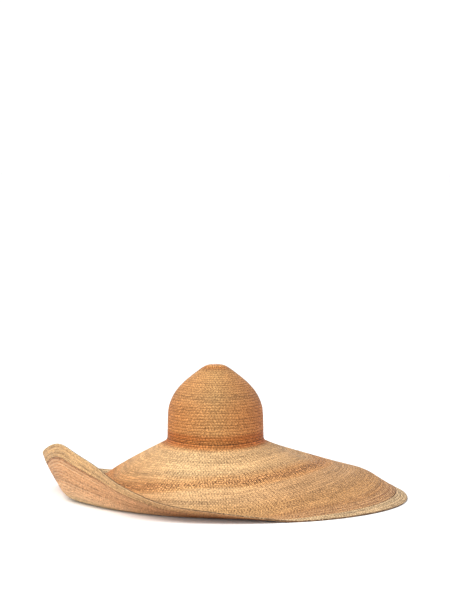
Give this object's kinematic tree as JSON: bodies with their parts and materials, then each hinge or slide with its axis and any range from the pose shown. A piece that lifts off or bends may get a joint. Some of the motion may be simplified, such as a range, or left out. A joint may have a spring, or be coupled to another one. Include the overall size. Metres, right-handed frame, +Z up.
{
  "type": "sun hat",
  "caption": "Very wide brimmed sun hat of sewn straw braid, with a tall tapered crown and a brim that dips on one side and curls up high on the other.",
  "frame": {"origin": "middle of the hat's box, on the surface that it rests on", "axes": "+Z up, -Y towards the front, +X towards the side where the brim lies down; the brim curls up at -X"},
  "size_m": [0.6986, 0.7424, 0.2515],
  "materials": {
    "straw": "matt sewn straw braid",
    "edge_straw": "matt sewn straw braid, doubled"
  },
  "bodies": {
    "root": {"crown_tip": "straw", "crown": "straw", "brim": "straw", "brim_edge_band": "edge_straw"}
  },
  "joints": []
}
